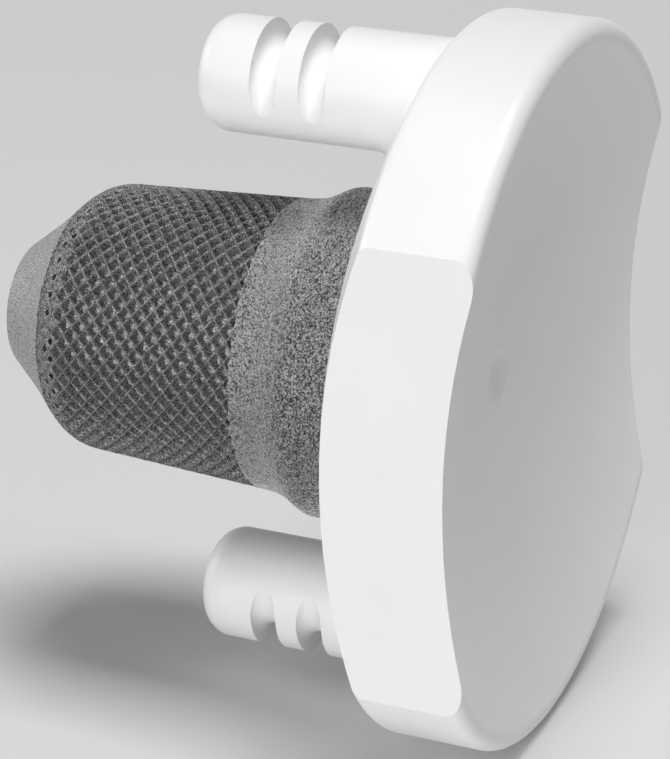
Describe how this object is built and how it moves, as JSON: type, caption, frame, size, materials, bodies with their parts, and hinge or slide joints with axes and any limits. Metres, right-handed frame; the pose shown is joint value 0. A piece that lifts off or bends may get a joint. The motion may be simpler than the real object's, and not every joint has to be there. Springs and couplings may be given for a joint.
{
  "type": "glenoid component",
  "caption": "Shoulder socket implant: flattened round dish with a concave articular face, grooved side pegs and a porous metal central post.",
  "frame": {"origin": "on the central post's axis, at the apex of the bearing's convex back", "axes": "+X from the bone side towards the articular face, +Z superior, Y across the flattened sides"},
  "size_m": [0.0276, 0.0266, 0.034],
  "materials": {
    "bearing": "satin moulded polyethylene",
    "post": "matte porous titanium alloy"
  },
  "bodies": {
    "root": {"bearing": "bearing", "post": "post"}
  },
  "joints": []
}
